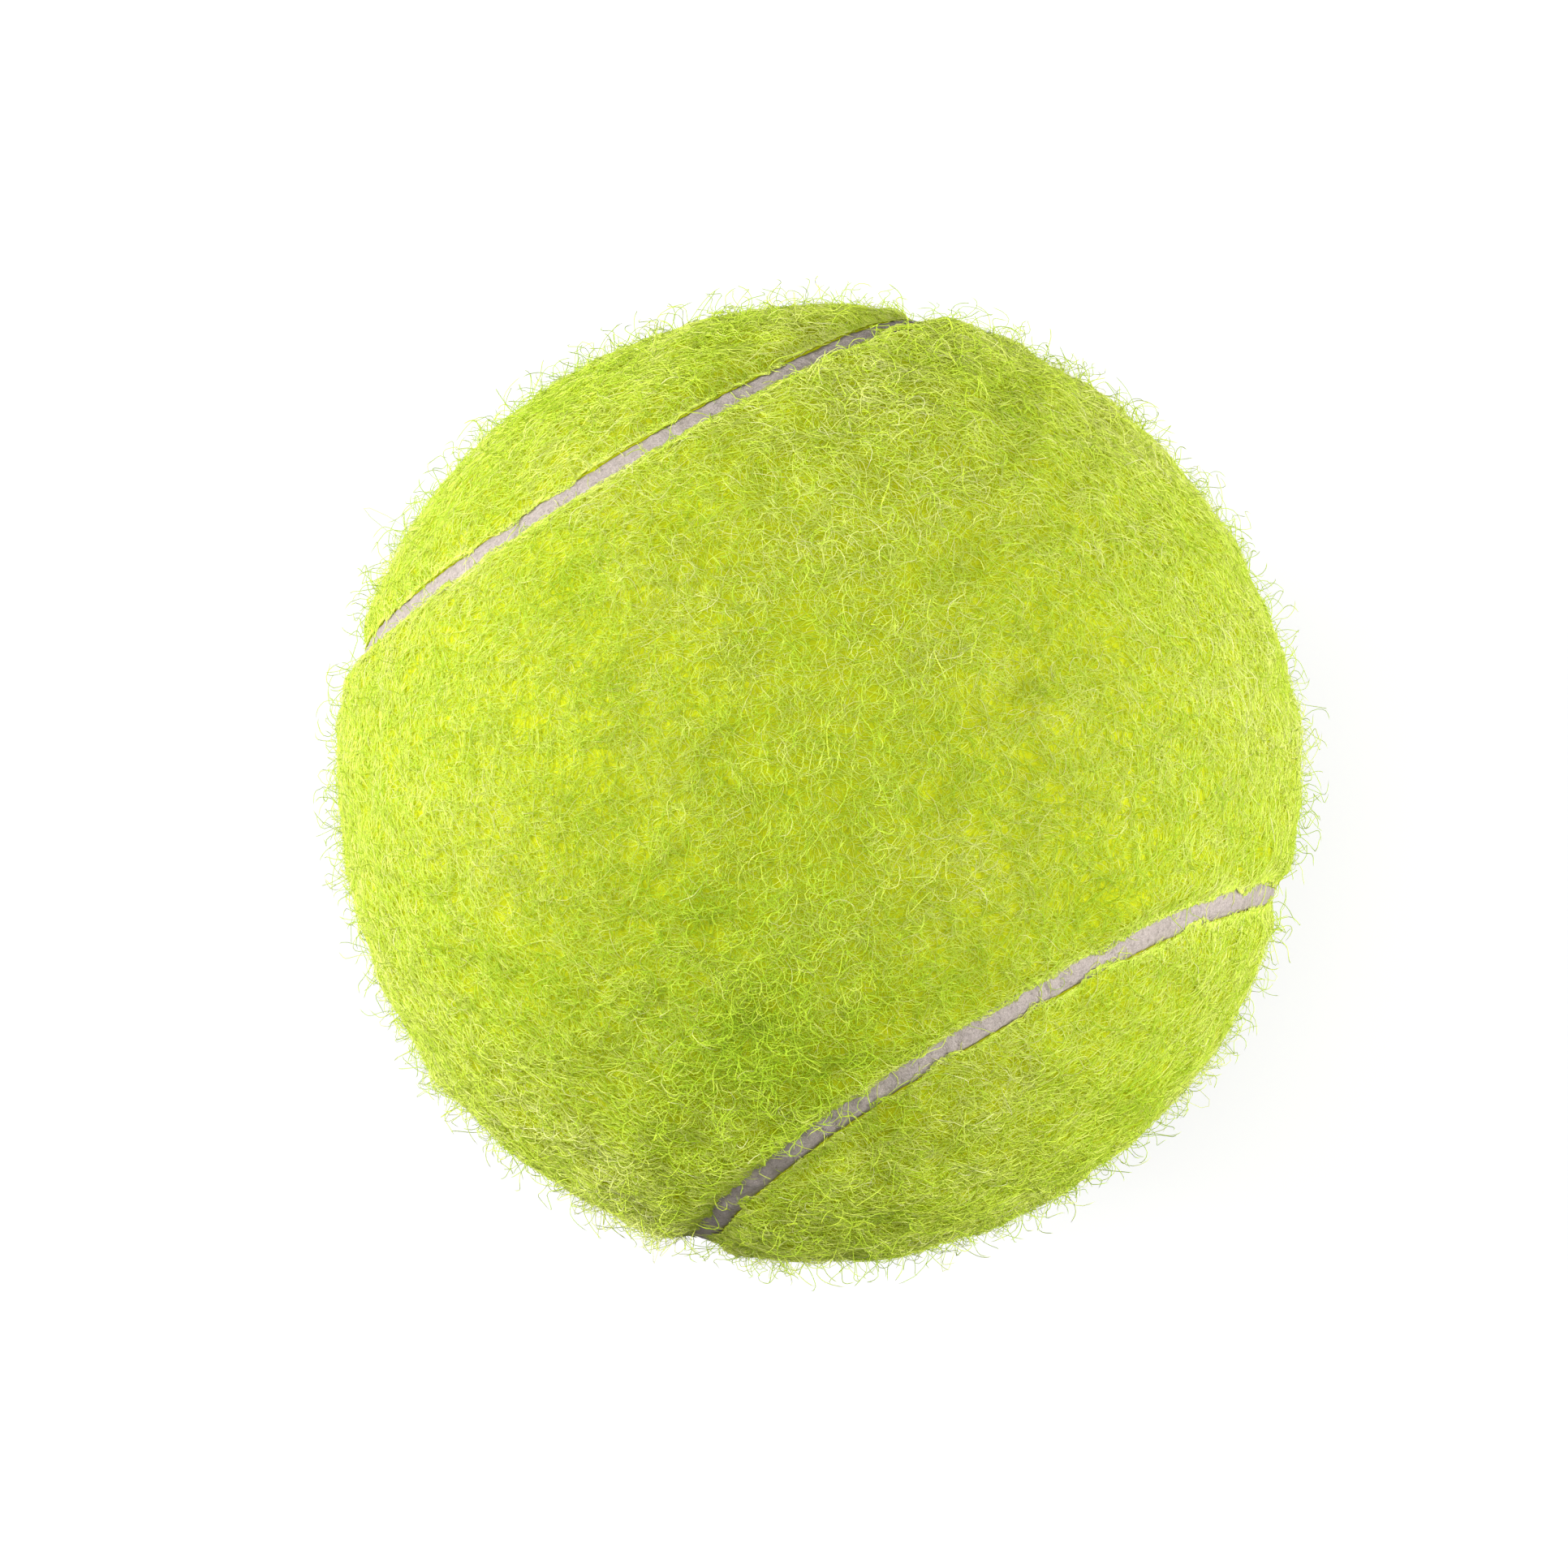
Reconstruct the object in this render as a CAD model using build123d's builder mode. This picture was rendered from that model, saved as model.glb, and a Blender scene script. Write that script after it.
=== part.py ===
from build123d import *
from math import asin, cos, pi, radians, sin, tan
import os

# Driving sizes, in millimetres and degrees

# Moulded rubber core
core_diameter = 59.2  # outside of the two half shells joined together
core_wall = 3.3  # rubber wall of each half shell
rim_bevel = 0.8  # inner corner taken off each rim, where cement gathers
joint_film = 0.3  # cement between the two ground rims
joint_bulge = 0.6  # how far the cement bead stands into the cavity

# Covering, from the core outwards
coat_thickness = 0.2  # cement coat over the whole core
cloth_thickness = 0.8  # woven backing of a felt panel
pile_thickness = 2.6  # raised felt above its backing
pile_edge_radius = 1.6  # roll of the felt down into the seam
bond_line = 0.05  # adhesive film between two bonded faces

# Seam between the two panels
seam_width = 2.0  # between the cut edges of the panels, at the crown of the felt
seam_waist = 46.3  # straight across a panel's waist, between seam centre lines
seam_lean = 7.0  # angle that the seam leans where it crosses the middle plane
seam_recess = 0.75  # top of the seam rubber below the crown of the felt
seam_crown = 0.2  # height of the seam rubber's middle above its shoulders
seam_points = 64  # points on the closed seam line

cut_overrun = 1.0  # reach of a cut past the solid that it parts

# Radii that follow from the sizes above
core_radius = core_diameter / 2
cavity_radius = core_radius - core_wall
coat_inner = core_radius + bond_line
coat_outer = coat_inner + coat_thickness
cloth_inner = coat_outer + bond_line
cloth_outer = cloth_inner + cloth_thickness
pile_inner = cloth_outer + bond_line
ball_radius = pile_inner + pile_thickness
seam_top = ball_radius - seam_recess
rim_height = joint_film / 2 + bond_line

# The seam line swings between the waists of the two panels
waist_slope = tan(asin(seam_waist / (ball_radius + ball_radius)))
lean_slope = tan(radians(seam_lean))
lift = 2 / (3 * waist_slope - 2 * lean_slope)
swing = 1 - lift * waist_slope

# Each layer's poles lie in the two lobes of the upper panel
lobe_poles = (0, -90, 0)
# The lower panel is the upper one turned over and a quarter round
turned_over = (0, 180, 90)


def seam_heading(turn):
    """Direction from the centre of the ball to the seam, at one turn of its loop."""
    along_x = cos(turn) - swing * cos(3 * turn)
    along_y = sin(turn) + swing * sin(3 * turn)
    along_z = -lift * cos(2 * turn)
    return Vector(along_x, along_y, along_z).normalized()


def beside_seam(turn, reach):
    """Direction to a place this far beside the seam, towards the upper panel where positive."""
    turn_step = pi / seam_points
    here = seam_heading(turn)
    ahead = seam_heading(turn + turn_step) - seam_heading(turn - turn_step)
    across = here.cross(ahead).normalized()
    return (here * ball_radius + across * reach).normalized()


def seam_line(reach, radius):
    """Closed line beside the seam, at one radius from the centre of the ball."""
    turns = [2 * pi * point / seam_points for point in range(seam_points)]
    with BuildLine() as line:
        Spline(*[beside_seam(turn, reach) * radius for turn in turns], periodic=True)
    return line.edge()


def seam_ribbon(first, second):
    """Closed ribbon along the seam between two places, each a reach beside it and a radius."""
    return Face.make_surface_from_curves(seam_line(*first), seam_line(*second))


# Upper half shell of the core, with a flat ground rim bevelled on its inner corner
with BuildPart() as core_half_a:
    with BuildSketch(Plane.XZ) as shell_section:
        Circle(core_radius)
        Circle(cavity_radius, mode=Mode.SUBTRACT)
        with Locations((0, rim_height)):
            Rectangle(core_radius, core_radius, align=Align.MIN, mode=Mode.INTERSECT)
        chamfer(shell_section.vertices().group_by(Axis.Y)[0].sort_by(Axis.X)[0], rim_bevel)
    revolve(axis=Axis.Z)

# Lower half shell, the same moulding turned over
with BuildPart() as core_half_b:
    add(core_half_a.part, rotation=turned_over)

# Cement between the rims, with the bead that it forms in their bevels
with BuildPart() as core_joint_cement:
    film_top = joint_film / 2
    bead_top = film_top + rim_bevel
    bevel_foot = cavity_radius + rim_bevel
    with BuildSketch(Plane.XZ):
        with BuildLine():
            upper_side = Polyline((cavity_radius, bead_top), (bevel_foot, film_top), (core_radius, film_top))
            lower_side = Polyline((cavity_radius, -bead_top), (bevel_foot, -film_top), (core_radius, -film_top))
            Line(upper_side @ 1, lower_side @ 1)
            ThreePointArc(upper_side @ 0, (cavity_radius - joint_bulge, 0), lower_side @ 0)
        make_face()
    revolve(axis=Axis.Z)

# Cement coat over the finished core
with BuildPart() as core_cement_coat:
    Sphere(coat_outer)
    Sphere(coat_inner, mode=Mode.SUBTRACT)

# Radial cut along the edge of the upper panel, through its felt and backing
panel_reach = seam_width / 2
panel_cut = seam_ribbon((panel_reach, coat_outer), (panel_reach, ball_radius + cut_overrun))

# Woven backing of the upper panel, cut to the panel's outline
with BuildPart() as backing_cloth_a:
    Sphere(cloth_outer, rotation=lobe_poles)
    Sphere(cloth_inner, rotation=lobe_poles, mode=Mode.SUBTRACT)
    split(bisect_by=panel_cut, keep=Keep.ALL)
    add(backing_cloth_a.solids().sort_by(Axis.Z)[-1], mode=Mode.REPLACE)

with BuildPart() as backing_cloth_b:
    add(backing_cloth_a.part, rotation=turned_over)

# Felt of the upper panel, whose crown rolls down along the whole cut edge
with BuildPart() as felt_panel_a:
    Sphere(ball_radius, rotation=lobe_poles)
    Sphere(pile_inner, rotation=lobe_poles, mode=Mode.SUBTRACT)
    split(bisect_by=panel_cut, keep=Keep.ALL)
    add(felt_panel_a.solids().sort_by(Axis.Z)[-1], mode=Mode.REPLACE)
    cut_edges = felt_panel_a.edges().filter_by(GeomType.BSPLINE).sort_by(SortBy.LENGTH)
    fillet(cut_edges[-1], pile_edge_radius)

with BuildPart() as felt_panel_b:
    add(felt_panel_a.part, rotation=turned_over)

# One closed strip of rubber that fills the seam, crowned along its middle
rubber_reach = panel_reach - bond_line
rubber_shoulder = seam_top - seam_crown
rubber_section = (
    (-rubber_reach, cloth_inner),
    (rubber_reach, cloth_inner),
    (rubber_reach, rubber_shoulder),
    (0, seam_top),
    (-rubber_reach, rubber_shoulder),
)
next_corners = rubber_section[1:] + rubber_section[:1]
rubber_skin = Shell([seam_ribbon(*sides) for sides in zip(rubber_section, next_corners)])
with BuildPart() as seam_rubber:
    add(Solid(rubber_skin))

pieces = {
    "core_half_a": core_half_a,
    "core_half_b": core_half_b,
    "core_joint_cement": core_joint_cement,
    "core_cement_coat": core_cement_coat,
    "backing_cloth_a": backing_cloth_a,
    "backing_cloth_b": backing_cloth_b,
    "felt_panel_a": felt_panel_a,
    "felt_panel_b": felt_panel_b,
    "seam_rubber": seam_rubber,
}

os.makedirs("parts", exist_ok=True)
for name, piece in pieces.items():
    piece.part.label = name
    export_step(piece.part, f"parts/{name}.step")
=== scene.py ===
from math import asin, cos, pi, radians, sin, sqrt, tan
from typing import NamedTuple

import bpy
import numpy as np
from mathutils import Matrix, Vector


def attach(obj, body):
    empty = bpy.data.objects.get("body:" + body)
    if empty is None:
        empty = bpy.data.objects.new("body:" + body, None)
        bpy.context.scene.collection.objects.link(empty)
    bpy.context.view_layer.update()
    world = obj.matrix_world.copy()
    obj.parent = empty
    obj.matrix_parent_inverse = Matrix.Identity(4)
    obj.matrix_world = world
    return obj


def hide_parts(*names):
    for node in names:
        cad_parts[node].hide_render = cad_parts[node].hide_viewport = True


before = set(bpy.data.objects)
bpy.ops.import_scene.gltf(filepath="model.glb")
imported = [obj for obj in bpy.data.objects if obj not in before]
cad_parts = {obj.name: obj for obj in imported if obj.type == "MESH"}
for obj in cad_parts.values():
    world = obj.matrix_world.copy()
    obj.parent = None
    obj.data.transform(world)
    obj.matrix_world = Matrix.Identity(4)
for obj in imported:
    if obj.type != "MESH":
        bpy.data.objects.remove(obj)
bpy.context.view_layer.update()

MM = 0.001

# Sizes of the CAD part, in metres and radians
BALL_RADIUS = 33.35 * MM
PILE_INNER = 30.75 * MM
CLOTH_INNER = 29.9 * MM
EDGE_ROLL = 1.6 * MM
HALF_SEAM = 1.0 * MM
SEAM_TOP = 32.6 * MM
SEAM_CROWN = 0.2 * MM
SEAM_WAIST = 46.3 * MM
SEAM_LEAN = radians(7.0)

# The seam line swings between the waists of the two panels
WAIST_SLOPE = tan(asin(SEAM_WAIST / (2 * BALL_RADIUS)))
LIFT = 2 / (3 * WAIST_SLOPE - 2 * tan(SEAM_LEAN))
SWING = 1 - LIFT * WAIST_SLOPE
SEAM_STEPS = 960  # places on the seam line that distances from it are taken to

# The rubber in the seam, which all but touches the cut edges of the panels
RUBBER_REACH = 0.995 * MM
STRIP_STEPS = 1600  # sections along the strip
STRIP_COLUMNS = 9  # points across its top

# The lower panel is the upper one turned over and a quarter round
TURNED_OVER = np.array([[0, -1, 0], [-1, 0, 0], [0, 0, -1]], float)

# The felt under the nap
BODY_ROWS = 300  # grid lines from one lobe to the other
BODY_COLUMNS = 84  # grid lines across the panel
LOBE_TIP = 0.004  # turn left over at the tip of each lobe, so that the last row has a width
ROUGH_SPREAD = 13 * MM  # reach of a panel's roughened place, which is also painted darker as shade
ROUGH_DEPTH = 0.12 * MM  # wear of the felt in the middle of that place

# How far the frayed edge of the felt hangs over the seam
OVERHANG_SHIFT = 0.08 * MM
OVERHANG_LEAST = 0.06 * MM
OVERHANG_MOST = 0.75 * MM

# The nap
NAP_DEPTH = 0.34 * MM  # from the felt body to the top of the nap
LIP_SHARE = 0.2  # share of that depth left at the frayed edge
SPILL = 0.06 * MM  # usual reach of a fibre past the frayed edge
FREE_SPILL = 1.0  # more than any fibre's length
EDGE_BAND = 1.0 * MM  # width of the band along the edge where its fringe is rooted
EDGE_FAN = 0.9  # spread of the fringe's headings, in radians
FLOW_SCATTER = 1.3  # how loosely fibres follow the flow of the felt
KINK = 0.22  # chance bend of a fibre at each of its steps, in radians
LOOP_COUNT = 8000
LOOP_ROOT = 0.28 * MM  # depth of a loop's two ends in the nap
LOOP_HEIGHT = 0.17 * MM  # scale of the loops' heights, which vary widely
PATCH_SHAG = 0.5  # share that a patch of the felt adds to a loop's height, or takes from it
ROUGH_SHAG = 1.1  # share that the middle of the roughened place adds to it
LOOSE_COUNT = 4900
LOOSE_SINK = 0.3 * MM  # how far a loose fibre is set down into the nap
LOOSE_DIP = 0.25 * MM  # depth that it then dips to at most
LOOSE_REACH = 2.2 * MM  # height that it stands to at most

# Tone of a fibre: what the panel's patches and mottling add or take, and the painted shade that the
# roughened place takes
PATCH_TONE = 0.05
MOTTLE_TONE = 0.06
# Painted shade: how much darker and greener the fibres in the middle of the roughened place are made
ROUGH_SHADE_TONE = 0.14

# Strand meshes
STRAND_SIDES = 3
END_SHARE = 0.62  # share of a strand's thickness at its ends, before they are pointed
TAPER_RISE = 1.2  # how fast it thickens from there
CELL_MARGIN = 0.1  # free share of a strand's cell on the map, at each side
FACES_PER_PIECE = 190000
TINY = 1e-9


def unit(vectors):
    """The same directions, with a length of 1."""
    return vectors / np.linalg.norm(vectors, axis=-1, keepdims=True)


def wave_field(rng, wavelength, height):
    """A smooth random height over space: many plane waves of about one length."""
    waves = 24
    axes = unit(rng.normal(size=(waves, 3)))
    stretch = rng.uniform(0.7, 1.5, waves)
    pace = 2 * pi / (wavelength * stretch)
    shifts = rng.uniform(0, 2 * pi, waves)
    scale = height * sqrt(2 / waves)

    def field(points):
        return scale * np.sin(points @ (axes * pace[:, None]).T + shifts).sum(axis=-1)

    return field


# The seam line and places beside it


def seam_headings(turns):
    """Directions from the centre of the ball to the seam."""
    along_x = np.cos(turns) - SWING * np.cos(3 * turns)
    along_y = np.sin(turns) + SWING * np.sin(3 * turns)
    along_z = -LIFT * np.cos(2 * turns)
    return unit(np.stack([along_x, along_y, along_z], axis=-1))


def seam_across(turns):
    """Directions square to the seam, towards the upper panel."""
    step = 0.002
    ahead = seam_headings(turns + step) - seam_headings(turns - step)
    return unit(np.cross(seam_headings(turns), ahead))


SEAM_TURNS = np.arange(SEAM_STEPS) * 2 * pi / SEAM_STEPS
SEAM_HERE = seam_headings(SEAM_TURNS)
SEAM_ACROSS = seam_across(SEAM_TURNS)


def seam_reach(directions):
    """How far each direction lies beside the seam, and the nearest place along it."""
    batch = 20000
    parts = np.array_split(directions.astype(np.float32), max(1, len(directions) // batch))
    line = SEAM_HERE.T.astype(np.float32)
    nearest = np.concatenate([np.argmax(part @ line, axis=1) for part in parts])
    offset = directions - SEAM_HERE[nearest]
    return (offset * SEAM_ACROSS[nearest]).sum(axis=1) * BALL_RADIUS, nearest


def roll_drop(inset):
    """Depth of the felt below its crown, this far in from the panel's cut edge."""
    short = np.clip(EDGE_ROLL - inset, 0, EDGE_ROLL)
    return EDGE_ROLL - np.sqrt(EDGE_ROLL**2 - short**2)


# Meshes


def mesh_piece(name, points, faces, material):
    """A new smooth object from points and faces that all have the same number of corners."""
    mesh = bpy.data.meshes.new(name)
    corners = faces.shape[1]
    mesh.vertices.add(len(points))
    mesh.vertices.foreach_set("co", points.astype(np.float32).ravel())
    mesh.loops.add(faces.size)
    mesh.loops.foreach_set("vertex_index", faces.astype(np.int32).ravel())
    mesh.polygons.add(len(faces))
    mesh.polygons.foreach_set("loop_start", np.arange(0, faces.size, corners, dtype=np.int32))
    mesh.polygons.foreach_set("use_smooth", np.full(len(faces), True))
    mesh.update(calc_edges=True)
    mesh.materials.append(material)
    piece = bpy.data.objects.new(name, mesh)
    bpy.context.scene.collection.objects.link(piece)
    return piece


def grid_faces(rows, columns, start=0):
    """Quads between the points of a grid that is stored row by row."""
    index = start + np.arange(rows * columns).reshape(rows, columns)
    corners = (index[:-1, :-1], index[1:, :-1], index[1:, 1:], index[:-1, 1:])
    return np.stack([corner.ravel() for corner in corners], axis=1)


def slerp(first, second, share):
    """Directions along the great circle from first to second."""
    angle = np.arccos(np.clip((first * second).sum(-1, keepdims=True), -1, 1))
    angle = np.maximum(angle, 1e-6)
    return unit(np.sin((1 - share) * angle) * first + np.sin(share * angle) * second)


class Panel:
    """One felt panel, worked out in the upper panel's place and then turned to its own."""

    def __init__(self, letter, seed, turn, sunk, tone, rough_shaded_place):
        self.letter = letter
        self.turn = turn
        self.sunk = sunk
        self.tone = tone
        self.rough_shaded_place = unit(np.array(rough_shaded_place))
        self.rng = np.random.default_rng(seed)
        # Random fields over the panel, each with its wavelength and its height or strength
        self.swell = wave_field(self.rng, 24 * MM, 0.10 * MM)
        self.lump = wave_field(self.rng, 5 * MM, 0.11 * MM)
        self.fray = wave_field(self.rng, 4.0 * MM, 0.38 * MM)
        self.tuft = wave_field(self.rng, 1.2 * MM, 0.12 * MM)
        self.flow = [wave_field(self.rng, 8 * MM, 1.0) for _ in range(3)]
        self.patch = wave_field(self.rng, 12 * MM, 1.0)
        self.mottle = wave_field(self.rng, 2.2 * MM, 1.0)
        self.seam_lip = self.lip(SEAM_HERE)

    def lip(self, seam_places):
        """How far from the seam line the frayed edge of the felt lies, along the seam."""
        places = seam_places * BALL_RADIUS
        overhang = self.fray(places) + self.tuft(places) - OVERHANG_SHIFT
        return HALF_SEAM - np.clip(overhang, OVERHANG_LEAST, OVERHANG_MOST)

    def shag(self, directions):
        """How far the nap is roughened here, and painted darker as shade, from 0 to 1."""
        apart = np.linalg.norm(directions - self.rough_shaded_place, axis=-1) * BALL_RADIUS
        return np.exp(-((apart / ROUGH_SPREAD) ** 2))

    def crown(self, directions, inset):
        """Radius of the felt's outer face, this far in from its edge."""
        places = directions * BALL_RADIUS
        uneven = self.swell(places) + self.lump(places) - ROUGH_DEPTH * self.shag(directions)
        rolled = uneven * np.clip(inset / EDGE_ROLL, 0, 1)
        return BALL_RADIUS - self.sunk + rolled - roll_drop(inset)

    def nap_top(self, directions, reach, nearest):
        """Radius of the nap's outer face, and the share of the nap's depth that is left there."""
        inset = np.maximum(reach - self.seam_lip[nearest], 0)
        full = np.clip(inset / EDGE_ROLL, LIP_SHARE, 1)
        return np.maximum(self.crown(directions, inset), SEAM_TOP + LIP_SHARE * NAP_DEPTH), full

    def body_top(self, directions):
        """Radius of the felt under the nap."""
        reach, _ = seam_reach(directions)
        inset = np.maximum(reach - HALF_SEAM, 0)
        return np.maximum(self.crown(directions, inset) - NAP_DEPTH, SEAM_TOP - SEAM_CROWN / 2)

    def place(self, points):
        """Points worked out in the upper panel's place, turned to this panel's own."""
        return points @ self.turn.T


def panel_edge(turns):
    """Directions to the cut edge of the panel."""
    return unit(seam_headings(turns) + seam_across(turns) * HALF_SEAM / BALL_RADIUS)


def panel_body(panel, material):
    """The felt under the nap: a closed shell over the whole panel, rolled down along its edge."""
    rows, columns = BODY_ROWS, BODY_COLUMNS
    turns = np.linspace(LOBE_TIP, pi - LOBE_TIP, rows)
    near_edge = panel_edge(-turns)[:, None]
    far_edge = panel_edge(turns)[:, None]
    shares = (1 - np.cos(np.linspace(0, pi, columns))) / 2
    directions = slerp(near_edge, far_edge, shares[None, :, None]).reshape(-1, 3)
    outer = directions * panel.body_top(directions)[:, None]
    points = panel.place(np.concatenate([outer, directions * PILE_INNER]))
    index = np.arange(rows * columns).reshape(rows, columns)
    rim = np.concatenate([index[0, :-1], index[:-1, -1], index[-1, :0:-1], index[:0:-1, 0]])
    after = np.roll(rim, -1)
    below = rows * columns
    wall = np.stack([rim, after, after + below, rim + below], axis=1)
    inner_faces = grid_faces(rows, columns, below)[:, ::-1]
    faces = np.concatenate([grid_faces(rows, columns), inner_faces, wall])[:, ::-1]
    return mesh_piece("felt_body_" + panel.letter, points, faces, material)


# Roots and paths of the nap's fibres


def rotate(vectors, axes, angles):
    """Each vector turned about its own unit axis."""
    cosine = np.cos(angles)[:, None]
    sine = np.sin(angles)[:, None]
    along = (vectors * axes).sum(axis=1, keepdims=True)
    return vectors * cosine + np.cross(axes, vectors) * sine + axes * along * (1 - cosine)


def panel_roots(panel, count):
    """Evenly scattered directions on the panel, which covers a little under half of the ball."""
    tries_per_root = 2.4
    tries = unit(panel.rng.normal(size=(int(count * tries_per_root), 3)))
    reach, _ = seam_reach(tries)
    return tries[reach > HALF_SEAM][:count]


def edge_roots(panel, count):
    """Directions scattered along the edge of the panel."""
    turns = panel.rng.uniform(0, 2 * pi, count)
    here = seam_headings(turns)
    reach = panel.lip(here) + panel.rng.uniform(0.0, EDGE_BAND, count)
    return unit(here + seam_across(turns) * reach[:, None] / BALL_RADIUS)


def flow_lean(panel, roots):
    """Headings along the felt that follow its flow loosely, either way."""
    flow = np.stack([field(roots * BALL_RADIUS) for field in panel.flow], axis=1)
    flow *= panel.rng.choice([-1, 1], len(roots))[:, None]
    lean = flow + FLOW_SCATTER * panel.rng.normal(size=roots.shape)
    return unit(lean - roots * (lean * roots).sum(axis=1, keepdims=True))


def edge_lean(panel, roots):
    """Headings from the edge of the felt out over the seam, spread to both sides."""
    _, nearest = seam_reach(roots)
    across = SEAM_ACROSS[nearest]
    turn = panel.rng.normal(0, EDGE_FAN, len(roots))[:, None]
    return unit(np.cross(roots, across) * np.sin(turn) - across * np.cos(turn))


def strand_paths(panel, roots, lean, segments, length, turning, pitch=(0, 0), tilt=0.0):
    """Curled lines that start at these roots on the felt, with these headings along it."""
    rng = panel.rng
    count = len(roots)
    rise = rng.uniform(*pitch, count)[:, None]
    heading = lean * np.cos(rise) + roots * np.sin(rise)
    axes = unit(roots + tilt * rng.normal(size=roots.shape))
    total = rng.uniform(*turning, count) * rng.choice([-1, 1], count)
    step = rng.uniform(*length, count) / segments
    points = [roots * BALL_RADIUS]
    for _ in range(segments):
        points.append(points[-1] + heading * step[:, None])
        heading = rotate(heading, axes, total / segments + rng.normal(0, KINK, count))
    return np.stack(points, axis=1)


def settle(panel, paths, heights, crossing):
    """Lays paths on the felt at these heights, and turns back all but a share that leave the panel."""
    count, steps = paths.shape[:2]
    directions = unit(paths).reshape(-1, 3)
    reach, nearest = seam_reach(directions)
    spill = panel.rng.exponential(SPILL, count)
    spill[panel.rng.random(count) < crossing] = FREE_SPILL
    turned = 2 * np.maximum(panel.seam_lip[nearest] - np.repeat(spill, steps) - reach, 0)
    directions = unit(directions + SEAM_ACROSS[nearest] * (turned / BALL_RADIUS)[:, None])
    top, full = panel.nap_top(directions, reach + turned, nearest)
    radius = top + heights.reshape(-1) * full
    return (directions * radius[:, None]).reshape(count, steps, 3)


# Strand meshes


def strand_template(segments):
    """Triangles of one strand with pointed ends, and where their corners lie on its map."""
    rings = segments - 1
    tip = rings * STRAND_SIDES
    triangles = []

    def ring_corner(ring, side):
        point = ring * STRAND_SIDES + side % STRAND_SIDES
        return point, (side / STRAND_SIDES, (ring + 1) / segments)

    for side in range(STRAND_SIDES):
        middle = (side + 0.5) / STRAND_SIDES
        first_tip = (tip, (middle, 0))
        last_tip = (tip + 1, (middle, 1))
        triangles.append([first_tip, ring_corner(0, side + 1), ring_corner(0, side)])
        for ring in range(rings - 1):
            here = ring_corner(ring, side)
            beside = ring_corner(ring, side + 1)
            ahead = ring_corner(ring + 1, side)
            diagonal = ring_corner(ring + 1, side + 1)
            triangles += [[here, beside, diagonal], [here, diagonal, ahead]]
        triangles.append([ring_corner(rings - 1, side), ring_corner(rings - 1, side + 1), last_tip])
    faces = np.array([[point for point, spot in triangle[::-1]] for triangle in triangles])
    uvs = np.array([[spot for point, spot in triangle[::-1]] for triangle in triangles])
    return faces, uvs


def strand_points(paths, thickness):
    """Points of strands along these paths: the rings of each one, then its two ends."""
    count, steps = paths.shape[:2]
    along = unit(np.gradient(paths, axis=1))
    side = unit(np.cross(along, unit(paths)) + TINY)
    over = np.cross(side, along)
    taper = np.minimum(1, END_SHARE + TAPER_RISE * np.sin(np.linspace(0, pi, steps)))[1:-1]
    radius = (thickness[:, None] / 2 * taper)[..., None]
    rings = []
    for number in range(STRAND_SIDES):
        angle = pi / 2 + number * 2 * pi / STRAND_SIDES
        offset = side * cos(angle) + over * sin(angle)
        rings.append(paths[:, 1:-1] + offset[:, 1:-1] * radius)
    body = np.stack(rings, axis=2).reshape(count, -1, 3)
    return np.concatenate([body, paths[:, :1], paths[:, -1:]], axis=1)


def spread_map(piece, count, uvs):
    """Gives each strand of a piece its own cell on the piece's map."""
    cells = int(np.ceil(sqrt(count)))
    numbers = np.arange(count)
    corner = np.stack([numbers % cells, numbers // cells], axis=1)
    spread = (corner[:, None, None] + CELL_MARGIN + (1 - 2 * CELL_MARGIN) * uvs[None]) / cells
    layer = piece.data.uv_layers.new(name="OFBake")
    layer.data.foreach_set("uv", spread.astype(np.float32).ravel())


def strand_piece(name, panel, paths, thickness, tones, material):
    """One mesh of many strands, each with its own tone and its own cell on the map."""
    points = strand_points(paths, thickness)
    count, per_strand = points.shape[:2]
    template, uvs = strand_template(paths.shape[1] - 1)
    starts = np.arange(count) * per_strand
    faces = (template[None] + starts[:, None, None]).reshape(-1, 3)
    points = panel.place(points.reshape(-1, 3))
    # No fibre reaches below the plane that the ball rests on
    points[:, 2] = np.maximum(points[:, 2], -BALL_RADIUS)
    piece = mesh_piece(name, points, faces, material)
    spread_map(piece, count, uvs)
    tone = piece.data.attributes.new("tone", "FLOAT", "POINT")
    tone.data.foreach_set("value", np.repeat(tones, per_strand).astype(np.float32))
    return piece


def nap_pieces(panel, paths, thickness, tones, label, material):
    """The strands of a panel, shared out along it over pieces of about one size."""
    roots = paths[:, 0]
    order = np.argsort(np.arctan2(roots[:, 2], roots[:, 0] + TINY) % (2 * pi))
    faces = len(order) * 2 * STRAND_SIDES * (paths.shape[1] - 2)
    parts = np.array_split(order, int(np.ceil(faces / FACES_PER_PIECE)))
    pieces = []
    for number, part in enumerate(parts, 1):
        name = f"{label}_{panel.letter}_{number:02d}"
        pieces.append(strand_piece(name, panel, paths[part], thickness[part], tones[part], material))
    return pieces


def strand_tones(panel, paths, shift, spread):
    """A tone for each strand, from 0, deep green, to 1, pale."""
    directions = unit(paths[:, 0])
    places = directions * BALL_RADIUS
    base = panel.tone + shift + PATCH_TONE * panel.patch(places) + MOTTLE_TONE * panel.mottle(places)
    # Painted shade: fibres in the roughened place get a darker, greener tone
    base = base - ROUGH_SHADE_TONE * panel.shag(directions)
    return np.clip(base + spread * panel.rng.normal(size=len(paths)), 0, 1)


# Kinds of fibre


class Layer(NamedTuple):
    """One kind of fibre that lies in the surface of the felt, with the least and most of each size."""

    label: str
    count: int
    segments: int
    length: tuple
    thickness: tuple
    level: tuple
    arch: tuple
    along_edge: bool


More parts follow.
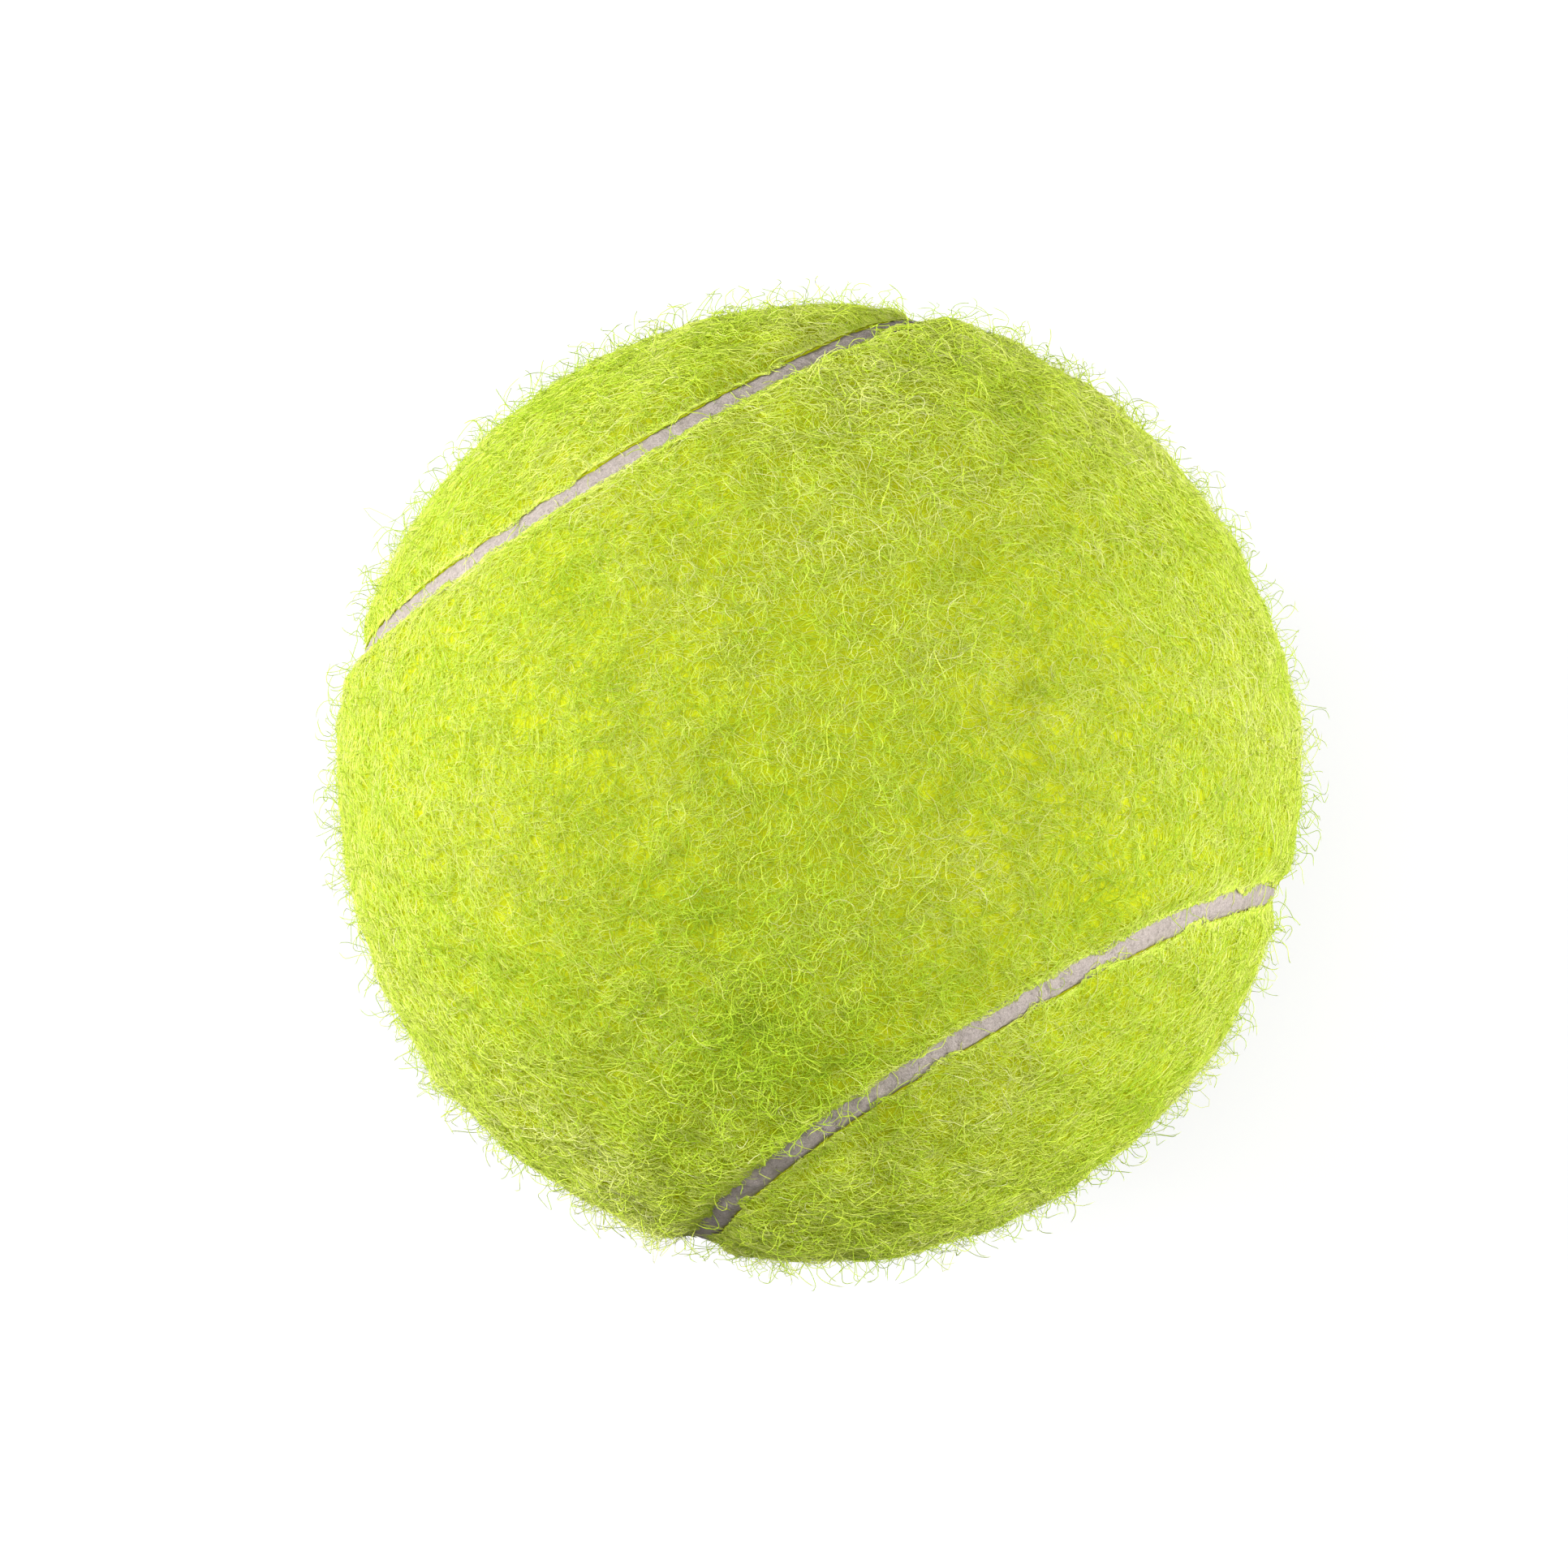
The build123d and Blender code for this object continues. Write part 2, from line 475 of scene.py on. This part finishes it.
LAYERS = (
    Layer(
        label="nap_down",
        count=44000,
        segments=3,
        length=(0.7 * MM, 1.6 * MM),
        thickness=(0.024 * MM, 0.036 * MM),
        level=(-0.25 * MM, -0.02 * MM),
        arch=(0.0, 0.15 * MM),
        along_edge=False,
    ),
    Layer(
        label="nap_mat",
        count=42000,
        segments=5,
        length=(1.6 * MM, 3.4 * MM),
        thickness=(0.034 * MM, 0.058 * MM),
        level=(-0.34 * MM, -0.12 * MM),
        arch=(0.02 * MM, 0.20 * MM),
        along_edge=False,
    ),
    Layer(
        label="nap_edge",
        count=8000,
        segments=4,
        length=(0.5 * MM, 1.4 * MM),
        thickness=(0.034 * MM, 0.056 * MM),
        level=(-0.30 * MM, -0.05 * MM),
        arch=(0.0, 0.10 * MM),
        along_edge=True,
    ),
)


def flat_nap(panel, layer, material):
    """Curled fibres that lie in the surface of the felt."""
    rng, count, segments = panel.rng, layer.count, layer.segments
    if layer.along_edge:
        roots = edge_roots(panel, count)
        lean = edge_lean(panel, roots)
    else:
        roots = panel_roots(panel, count)
        lean = flow_lean(panel, roots)
    paths = strand_paths(panel, roots, lean, segments, layer.length, turning=(0.2, 2.8))
    share = np.linspace(0, 1, segments + 1)[None]
    level = rng.uniform(*layer.level, count)[:, None]
    arch = rng.uniform(*layer.arch, count)[:, None]
    paths = settle(panel, paths, level + arch * np.sin(pi * share), crossing=0.04)
    thickness = rng.uniform(*layer.thickness, count)
    tones = strand_tones(panel, paths, shift=0.0, spread=0.17)
    return nap_pieces(panel, paths, thickness, tones, layer.label, material)


def looped_nap(panel, count, material):
    """Fibres that leave the felt and come back to it in low loops, higher where it is shaggy."""
    rng, segments = panel.rng, 6
    roots = panel_roots(panel, count)
    lean = flow_lean(panel, roots)
    length = (1.4 * MM, 3.4 * MM)
    paths = strand_paths(panel, roots, lean, segments, length, turning=(0.6, 4.0))
    share = np.linspace(0, 1, segments + 1)[None]
    shag = 1 + PATCH_SHAG * panel.patch(roots * BALL_RADIUS) + ROUGH_SHAG * panel.shag(roots)
    arch = (rng.gamma(2.0, LOOP_HEIGHT, count) * np.clip(shag, 0.4, 2.4))[:, None]
    # A peak under 1 puts the top of a loop nearer to its start, and one over 1 nearer to its end
    peak = rng.uniform(0.6, 1.5, count)[:, None]
    heights = arch * np.sin(pi * share**peak) - LOOP_ROOT
    paths = settle(panel, paths, heights, crossing=0.06)
    thickness = rng.uniform(0.034 * MM, 0.058 * MM, count)
    tones = strand_tones(panel, paths, shift=0.04, spread=0.20)
    return nap_pieces(panel, paths, thickness, tones, "nap_loop", material)


def loose_roots(panel, count):
    """Directions scattered over the panel, with a sixth of them in its roughened place."""
    rough_count = count // 6
    scattered = panel_roots(panel, count - rough_count)
    apart = panel.rng.normal(0, 0.5 * ROUGH_SPREAD / BALL_RADIUS, (rough_count, 3))
    return np.concatenate([scattered, unit(apart + panel.rough_shaded_place)])


def loose_nap(panel, count, material):
    """Longer fibres that stand out of the felt in loops and curls."""
    rng, segments = panel.rng, 9
    roots = loose_roots(panel, count)
    lean = flow_lean(panel, roots)
    length = (1.5 * MM, 5.4 * MM)
    curl = {"turning": (2.0, 8.5), "pitch": (0.05, 1.0), "tilt": 0.9}
    paths = strand_paths(panel, roots, lean, segments, length, **curl)
    directions = unit(paths).reshape(-1, 3)
    ground, _ = panel.nap_top(directions, *seam_reach(directions))
    height = np.linalg.norm(paths, axis=2) - BALL_RADIUS - LOOSE_SINK
    bent = LOOSE_REACH * np.tanh(np.maximum(height, -LOOSE_DIP) / LOOSE_REACH)
    radius = ground.reshape(count, segments + 1) + bent
    paths = unit(paths) * radius[..., None]
    thickness = rng.uniform(0.042 * MM, 0.064 * MM, count)
    # Painted shade: loose fibres get a much darker, greener tone, for the shade on the fuzz that
    # stands out at the ball's outline
    tones = strand_tones(panel, paths, shift=-0.25, spread=0.14)
    return nap_pieces(panel, paths, thickness, tones, "nap_loose", material)


# Seam


def strip_section():
    """The strip's outline across the seam, as places that each have a reach and a radius."""
    foot = [(-RUBBER_REACH, CLOTH_INNER), (RUBBER_REACH, CLOTH_INNER)]
    top = []
    for share in np.linspace(-1, 1, STRIP_COLUMNS):
        top.append((RUBBER_REACH * share, SEAM_TOP - SEAM_CROWN * share**2))
    return foot[:1] + top + foot[1:]


def seam_strip(material):
    """The rubber in the seam: a closed strip with an uneven, slightly crowned top."""
    rng = np.random.default_rng(31)
    wander = wave_field(rng, 3.0 * MM, 0.03 * MM)
    pits = wave_field(rng, 0.8 * MM, 0.022 * MM)
    turns = np.arange(STRIP_STEPS) * 2 * pi / STRIP_STEPS
    here = seam_headings(turns)
    across = seam_across(turns)
    columns = []
    for reach, radius in strip_section():
        direction = unit(here + across * (reach / BALL_RADIUS))
        rough = (wander(direction * radius) + pits(direction * radius)) * (radius > PILE_INNER)
        columns.append(direction * (radius + rough)[:, None])
    points = np.stack(columns, axis=1).reshape(-1, 3)
    index = np.arange(len(points)).reshape(STRIP_STEPS, len(columns))
    ahead = np.roll(index, -1, axis=0)
    beside = np.roll(index, -1, axis=1)
    diagonal = np.roll(ahead, -1, axis=1)
    faces = np.stack([face.ravel() for face in (index, ahead, diagonal, beside)], axis=1)
    return mesh_piece("seam_strip", points, faces, material)


# Materials


class Nodes:
    """A new material's node tree, with short ways to add and join nodes."""

    def __init__(self, name):
        self.material = bpy.data.materials.new(name)
        self.material.use_nodes = True
        self.tree = self.material.node_tree
        self.shader = self.tree.nodes["Principled BSDF"]

    def add(self, kind, **settings):
        node = self.tree.nodes.new(kind)
        for name, value in settings.items():
            setattr(node, name, value)
        return node

    def join(self, output, socket):
        self.tree.links.new(output, socket)

    def set(self, **values):
        """Sets the shader's inputs, named with underscores for spaces."""
        for name, value in values.items():
            self.shader.inputs[name.replace("_", " ")].default_value = value

    def place(self):
        return self.add("ShaderNodeTexCoord").outputs["Object"]

    def noise(self, scale, detail=3.0, roughness=0.6, distortion=0.0):
        node = self.add("ShaderNodeTexNoise")
        node.inputs["Scale"].default_value = scale
        node.inputs["Detail"].default_value = detail
        node.inputs["Roughness"].default_value = roughness
        node.inputs["Distortion"].default_value = distortion
        self.join(self.place(), node.inputs["Vector"])
        return node.outputs["Fac"]

    def colour(self, value, stops):
        """Colours the shader by this value, between stops that each have a position and a colour."""
        node = self.add("ShaderNodeValToRGB")
        elements = node.color_ramp.elements
        while len(elements) < len(stops):
            elements.new(0.5)
        for element, (position, colour) in zip(elements, stops):
            element.position = position
            element.color = (*colour, 1.0)
        self.join(value, node.inputs["Fac"])
        self.join(node.outputs["Color"], self.shader.inputs["Base Color"])

    def bump(self, height, distance, strength):
        node = self.add("ShaderNodeBump")
        node.inputs["Distance"].default_value = distance
        node.inputs["Strength"].default_value = strength
        self.join(height, node.inputs["Height"])
        self.join(node.outputs["Normal"], self.shader.inputs["Normal"])


def nap_material():
    nodes = Nodes("felt_nap")
    tone = nodes.add("ShaderNodeAttribute", attribute_name="tone")
    stops = [
        (0.05, (0.55, 0.78, 0.030)),
        (0.28, (0.72, 0.90, 0.055)),
        (0.48, (0.81, 0.94, 0.130)),
        (0.75, (0.90, 0.96, 0.270)),
        (1.0, (0.97, 0.98, 0.500)),
    ]
    nodes.colour(tone.outputs["Fac"], stops)
    nodes.set(Roughness=0.5, Specular_IOR_Level=0.4)
    return nodes.material


def felt_body_material():
    nodes = Nodes("felt_body")
    fibres = nodes.noise(2600, detail=3.0, roughness=0.6, distortion=0.8)
    fibres.node.noise_type = "RIDGED_MULTIFRACTAL"
    stops = [
        (0.15, (0.56, 0.61, 0.008)),
        (0.50, (0.72, 0.78, 0.015)),
        (0.90, (0.84, 0.90, 0.080)),
    ]
    nodes.colour(fibres, stops)
    nodes.bump(fibres, distance=0.12 * MM, strength=0.7)
    nodes.set(Roughness=0.9, Specular_IOR_Level=0.2)
    return nodes.material


def seam_material():
    nodes = Nodes("seam_rubber")
    speckle = nodes.noise(4200, detail=5.0, roughness=0.75, distortion=0.8)
    # The rubber's own grey-lilac, with its middle and pale stops set a little darker as painted shade
    # of the sunken seam
    stops = [
        (0.30, (0.08, 0.06, 0.06)),
        (0.37, (0.40, 0.34, 0.31)),
        (0.55, (0.57, 0.49, 0.46)),
        (0.72, (0.70, 0.62, 0.58)),
    ]
    nodes.colour(speckle, stops)
    nodes.bump(nodes.noise(6500, detail=4.0, roughness=0.7), distance=0.12 * MM, strength=0.9)
    nodes.set(Roughness=0.8, Specular_IOR_Level=0.3)
    return nodes.material


def rubber_material():
    nodes = Nodes("core_rubber")
    stops = [(0.3, (0.030, 0.030, 0.032)), (0.7, (0.055, 0.053, 0.052))]
    nodes.colour(nodes.noise(420), stops)
    nodes.bump(nodes.noise(1500), distance=0.05 * MM, strength=0.5)
    nodes.set(Roughness=0.65)
    return nodes.material


def cement_material():
    nodes = Nodes("cement")
    stops = [(0.3, (0.36, 0.30, 0.20)), (0.7, (0.52, 0.45, 0.32))]
    nodes.colour(nodes.noise(260, detail=4.0), stops)
    nodes.bump(nodes.noise(900), distance=0.06 * MM, strength=0.6)
    nodes.set(Roughness=0.45)
    return nodes.material


def backing_material():
    nodes = Nodes("backing_cloth")
    stops = [(0.3, (0.50, 0.47, 0.38)), (0.7, (0.70, 0.67, 0.56))]
    nodes.colour(nodes.noise(1400, detail=2.0), stops)
    weave = nodes.add("ShaderNodeTexWave", wave_type="BANDS", bands_direction="DIAGONAL")
    weave.inputs["Scale"].default_value = 700
    weave.inputs["Distortion"].default_value = 1.5
    nodes.join(nodes.place(), weave.inputs["Vector"])
    nodes.bump(weave.outputs["Fac"], distance=0.10 * MM, strength=0.8)
    nodes.set(Roughness=0.95, Specular_IOR_Level=0.15)
    return nodes.material


def dress_hidden_layers():
    """Finishes for the CAD solids that lie under the felt."""
    rubber = rubber_material()
    cement = cement_material()
    cloth = backing_material()
    finishes = {
        "core_half_a": rubber,
        "core_half_b": rubber,
        "core_joint_cement": cement,
        "core_cement_coat": cement,
        "backing_cloth_a": cloth,
        "backing_cloth_b": cloth,
    }
    for name, material in finishes.items():
        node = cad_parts[name]
        node.data.materials.clear()
        node.data.materials.append(material)


# Studio

# Where the camera stands, and where the ball lies in its picture
VIEW_AZIMUTH = radians(7.77)
VIEW_ELEVATION = radians(83.03)
VIEW_ROLL = radians(-38.89)
VIEW_DISTANCE = 0.6
VIEW_LENS = 198.5
SENSOR_WIDTH = 36
BALL_RIGHT_OF_CENTRE = 2.29 * MM
BALL_ABOVE_CENTRE = 0.146 * MM

WORLD_LIGHT = 0.03

# The floor glows for the camera, a little less near the ball, where its shadow has to show
FLOOR_REACH = 6.0
FLOOR_GREY = 0.25
GLOW_NEAR = 0.10
GLOW_FAR = 0.80
GLOW_NEAR_STRENGTH = 0.79


def view_axes():
    """The camera's right, up and back directions."""
    level = cos(VIEW_ELEVATION)
    back = Vector((sin(VIEW_AZIMUTH) * level, -cos(VIEW_AZIMUTH) * level, sin(VIEW_ELEVATION)))
    right = Vector((cos(VIEW_AZIMUTH), sin(VIEW_AZIMUTH), 0))
    right.rotate(Matrix.Rotation(VIEW_ROLL, 3, back))
    return right, back.cross(right), back


def make_camera():
    right, up, back = view_axes()
    data = bpy.data.cameras.new("camera")
    data.lens = VIEW_LENS
    data.sensor_width = SENSOR_WIDTH
    camera = bpy.data.objects.new("camera", data)
    camera.matrix_world = Matrix((right, up, back)).transposed().to_4x4()
    camera.location = back * VIEW_DISTANCE - right * BALL_RIGHT_OF_CENTRE - up * BALL_ABOVE_CENTRE
    bpy.context.scene.collection.objects.link(camera)
    bpy.context.scene.camera = camera


def area_lamp(name, aim, distance, size, power):
    """A soft lamp that faces the ball, from a direction given in the camera's axes."""
    right, up, back = view_axes()
    towards = (right * aim[0] + up * aim[1] + back * aim[2]).normalized()
    data = bpy.data.lights.new(name, "AREA")
    data.shape = "RECTANGLE"
    data.size, data.size_y = size
    data.energy = power
    lamp = bpy.data.objects.new(name, data)
    lamp.location = towards * distance
    lamp.rotation_euler = towards.to_track_quat("Z", "Y").to_euler()
    bpy.context.scene.collection.objects.link(lamp)


def make_lamps():
    area_lamp("lamp_left", aim=(-0.95, 0.19, 0.26), distance=0.75, size=(0.36, 0.20), power=7.6)
    area_lamp("lamp_right", aim=(0.97, -0.08, 0.26), distance=0.75, size=(0.36, 0.20), power=6.1)
    area_lamp("lamp_above", aim=(0.0, 0.10, 1.0), distance=0.95, size=(0.50, 0.50), power=5.75)


def make_world():
    """A world that the camera sees as white, and that adds only a little light."""
    world = bpy.data.worlds.new("studio")
    world.use_nodes = True
    nodes, links = world.node_tree.nodes, world.node_tree.links
    background = nodes["Background"]
    background.inputs["Color"].default_value = (1, 1, 1, 1)
    path = nodes.new("ShaderNodeLightPath")
    strength = nodes.new("ShaderNodeMapRange")
    strength.inputs["To Min"].default_value = WORLD_LIGHT
    strength.inputs["To Max"].default_value = 1.0
    links.new(path.outputs["Is Camera Ray"], strength.inputs["Value"])
    links.new(strength.outputs["Result"], background.inputs["Strength"])
    bpy.context.scene.world = world


def floor_material():
    nodes = Nodes("floor")
    grey = (FLOOR_GREY, FLOOR_GREY, FLOOR_GREY, 1)
    nodes.set(Base_Color=grey, Roughness=0.9, Specular_IOR_Level=0.0, Emission_Color=(1, 1, 1, 1))
    distance = nodes.add("ShaderNodeVectorMath", operation="LENGTH")
    nodes.join(nodes.place(), distance.inputs[0])
    glow = nodes.add("ShaderNodeMapRange")
    glow.inputs["From Min"].default_value = GLOW_NEAR
    glow.inputs["From Max"].default_value = GLOW_FAR
    glow.inputs["To Min"].default_value = GLOW_NEAR_STRENGTH
    glow.inputs["To Max"].default_value = 1.0
    nodes.join(distance.outputs["Value"], glow.inputs["Value"])
    path = nodes.add("ShaderNodeLightPath")
    seen = nodes.add("ShaderNodeMath", operation="MULTIPLY")
    nodes.join(glow.outputs["Result"], seen.inputs[0])
    nodes.join(path.outputs["Is Camera Ray"], seen.inputs[1])
    nodes.join(seen.outputs["Value"], nodes.shader.inputs["Emission Strength"])
    return nodes.material


def make_floor():
    """A wide pale floor under the ball."""
    ends = (-FLOOR_REACH, FLOOR_REACH)
    points = np.array([(x, y, -BALL_RADIUS) for y in ends for x in ends])
    floor = mesh_piece("floor", points, np.array([[0, 1, 3, 2]]), floor_material())


# Assembly


def dress(piece):
    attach(piece, "root")


def build_panel(panel, body_material, fibre_material):
    body = panel_body(panel, body_material)
    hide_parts("felt_panel_" + panel.letter)
    nap = looped_nap(panel, LOOP_COUNT, fibre_material)
    nap += loose_nap(panel, LOOSE_COUNT, fibre_material)
    for layer in LAYERS:
        nap += flat_nap(panel, layer, fibre_material)
    for piece in [body, *nap]:
        dress(piece)


def main():
    bpy.context.scene.view_settings.view_transform = "Standard"
    upper = Panel(
        "a",
        seed=11,
        turn=np.eye(3),
        sunk=0.15 * MM,
        tone=0.48,
        rough_shaded_place=(-0.36, -0.42, 0.83),
    )
    lower = Panel(
        "b",
        seed=23,
        turn=TURNED_OVER,
        sunk=0.28 * MM,
        # Painted shade: the lower panel's tone is set lower than the upper one's, so its felt comes
        # out a little darker and greener
        tone=0.43,
        rough_shaded_place=(0.40, 0.10, 0.91),
    )
    body_material = felt_body_material()
    fibre_material = nap_material()
    for panel in (upper, lower):
        build_panel(panel, body_material, fibre_material)
    strip = seam_strip(seam_material())
    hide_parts("seam_rubber")
    dress(strip)
    dress_hidden_layers()
    make_camera()
    make_lamps()
    make_world()
    make_floor()


main()
